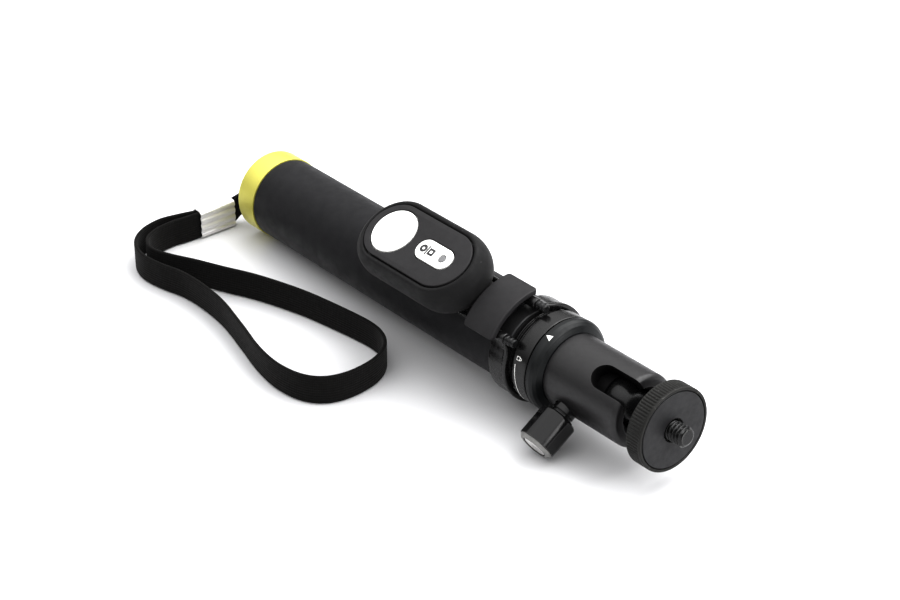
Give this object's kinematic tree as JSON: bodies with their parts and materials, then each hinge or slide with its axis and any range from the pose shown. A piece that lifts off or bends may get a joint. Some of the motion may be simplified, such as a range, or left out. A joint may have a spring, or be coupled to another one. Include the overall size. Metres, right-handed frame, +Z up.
{
  "type": "selfie stick",
  "caption": "Telescopic hand-held camera pole, folded, with a rubber grip, a clip-on button remote, a slotted ball head with a threaded stud and a wrist strap.",
  "frame": {"origin": "middle of the folded stick's footprint, on the surface it lies on; the wrist strap lies beside it", "axes": "+X along the pole from the end cap to the camera screw (the pole rises 1.7 degrees towards +X), +Z up"},
  "size_m": [0.2195, 0.0759, 0.0486],
  "materials": {
    "lime_anodised": "satin anodised",
    "black_anodised": "satin anodised",
    "ring_anodised": "satin anodised",
    "bare_aluminium": "drawn",
    "dark_aluminium": "satin",
    "grip_rubber": "soft touch",
    "sleeve_silicone": "matte",
    "charcoal_plastic": "satin moulded",
    "black_plastic": "moulded",
    "natural_plastic": "moulded",
    "white_plastic": "satin",
    "grey_lens": "clear over grey",
    "green_board": "coated",
    "black_steel": "black oxide",
    "bright_steel": "turned",
    "pad_rubber": "matte",
    "black_webbing": "ribbed weave"
  },
  "bodies": {
    "handle": {"end_cap": "lime_anodised", "lanyard_bar": "bright_steel", "handle_tube": "dark_aluminium", "grip_sleeve": "grip_rubber", "front_bezel": "dark_aluminium", "front_bush": "black_plastic", "lock_collar": "black_anodised", "strap_loop": "black_webbing", "strap_ferrule": "bright_steel", "wrist_strap": "black_webbing"},
    "pole_1": {"section_1": "bare_aluminium", "guide_bush_1": "natural_plastic"},
    "pole_2": {"section_2": "bare_aluminium", "guide_bush_2": "natural_plastic"},
    "pole_3": {"section_3": "bare_aluminium", "guide_bush_3": "natural_plastic"},
    "pole_4": {"section_4": "bare_aluminium", "guide_bush_4": "natural_plastic"},
    "pole_5": {"section_5": "bare_aluminium", "guide_bush_5": "natural_plastic"},
    "head": {"index_ring": "ring_anodised", "head_housing": "black_anodised", "ball_seat": "black_steel", "seat_plunger": "black_steel"},
    "ball": {"ball_stem": "black_steel"},
    "mount_screw": {"camera_screw": "black_steel"},
    "wheel": {"knurled_wheel": "black_anodised", "wheel_pad": "pad_rubber"},
    "knob": {"knob_screw": "black_steel", "lock_knob": "black_anodised", "knob_cap": "bright_steel"},
    "clip": {"clip_ring": "black_plastic", "carrier_rods": "charcoal_plastic", "saddle_plate": "charcoal_plastic", "remote_sleeve": "sleeve_silicone", "remote_case": "black_plastic", "remote_face": "charcoal_plastic", "status_lens": "grey_lens", "circuit_board": "green_board", "dome_switches": "bright_steel", "coin_cell": "bright_steel"},
    "shutter_key": {"shutter_button": "white_plastic"},
    "mode_key": {"mode_button": "white_plastic"}
  },
  "joints": [
    {"name": "pole_slide_1", "type": "slide", "parent": "handle", "child": "pole_1", "axis": [0.9996, 0, 0.0294], "range_m": [0, 0.102]},
    {"name": "pole_slide_2", "type": "slide", "parent": "pole_1", "child": "pole_2", "axis": [0.9996, 0, 0.0294], "range_m": [0, 0.102]},
    {"name": "pole_slide_3", "type": "slide", "parent": "pole_2", "child": "pole_3", "axis": [0.9996, 0, 0.0294], "range_m": [0, 0.102]},
    {"name": "pole_slide_4", "type": "slide", "parent": "pole_3", "child": "pole_4", "axis": [0.9996, 0, 0.0294], "range_m": [0, 0.102]},
    {"name": "pole_slide_5", "type": "slide", "parent": "pole_4", "child": "pole_5", "axis": [0.9996, 0, 0.0294], "range_m": [0, 0.102]},
    {"name": "head_twist", "type": "hinge", "parent": "pole_5", "child": "head", "pos_m": [0.05428, 0.00462, 0.01892], "axis": [0.9996, 0, 0.0294], "range_deg": [-30, 110]},
    {"name": "ball_tilt", "type": "hinge", "parent": "head", "child": "ball", "pos_m": [0.07727, 0.00462, 0.0196], "axis": [0.0156, -0.848, -0.5297], "range_deg": [-30, 90]},
    {"name": "screw_swivel", "type": "hinge", "parent": "ball", "child": "mount_screw", "pos_m": [0.08726, 0.00462, 0.01989], "axis": [0.9996, 0, 0.0294], "continuous": true},
    {"name": "wheel_spin", "type": "hinge", "parent": "mount_screw", "child": "wheel", "pos_m": [0.09426, 0.00462, 0.0201], "axis": [0.9996, 0, 0.0294], "continuous": true},
    {"name": "knob_turn", "type": "hinge", "parent": "head", "child": "knob", "pos_m": [0.06251, -0.0081, 0.01121], "axis": [0.0156, -0.848, -0.5297], "range_deg": [0, 360]},
    {"name": "clip_swivel", "type": "hinge", "parent": "handle", "child": "clip", "pos_m": [0.03728, 0.00462, 0.01842], "axis": [0.9996, 0, 0.0294], "range_deg": [-90, 20]},
    {"name": "shutter_press", "type": "slide", "parent": "clip", "child": "shutter_key", "axis": [0.0254, 0.503, -0.8639], "range_m": [0, 0.0005], "stiffness_N_per_m": 1500, "springref_m": -0.0004},
    {"name": "mode_press", "type": "slide", "parent": "clip", "child": "mode_key", "axis": [0.0254, 0.503, -0.8639], "range_m": [0, 0.0005], "stiffness_N_per_m": 1500, "springref_m": -0.0004}
  ]
}
